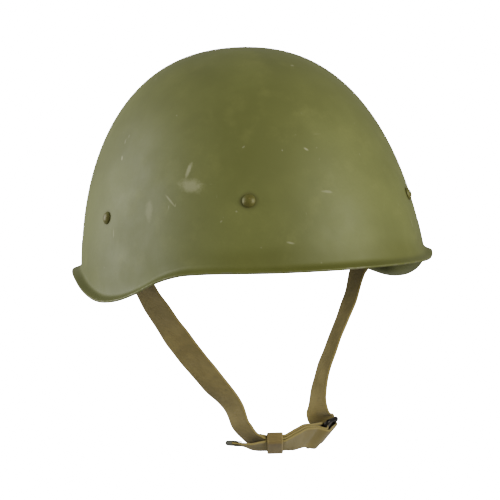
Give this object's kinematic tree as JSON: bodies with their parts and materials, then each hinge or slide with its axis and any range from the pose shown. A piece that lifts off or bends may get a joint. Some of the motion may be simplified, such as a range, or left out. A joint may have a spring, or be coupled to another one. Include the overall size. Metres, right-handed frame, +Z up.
{
  "type": "steel combat helmet with a webbing chin strap",
  "caption": "Pressed steel combat helmet, olive painted, six rivets, rolled-out rim, buckled webbing chin strap.",
  "frame": {"origin": "underside of the crown on the centre plane, where a head carries the helmet", "axes": "+Z up, -Y to the helmet's front, +X to the wearer's left"},
  "size_m": [0.2404, 0.2777, 0.2902],
  "materials": {
    "shell_paint": "worn satin olive",
    "rivet_paint": "worn satin olive",
    "hanger_steel": "dark enamel",
    "webbing": "woven cotton",
    "keeper_webbing": "woven cotton",
    "buckle_steel": "blackened steel",
    "tip_steel": "dull grey steel"
  },
  "bodies": {
    "root": {"shell": "shell_paint", "rivet_front_left": "rivet_paint", "rivet_front_right": "rivet_paint", "rivet_side_left": "rivet_paint", "rivet_side_right": "rivet_paint", "rivet_rear_left": "rivet_paint", "rivet_rear_right": "rivet_paint", "strap_hanger_left": "hanger_steel", "strap_hanger_right": "hanger_steel", "strap_left": "webbing", "strap_right": "webbing", "strap_tip": "tip_steel", "buckle": "buckle_steel", "keeper": "keeper_webbing"}
  },
  "joints": []
}
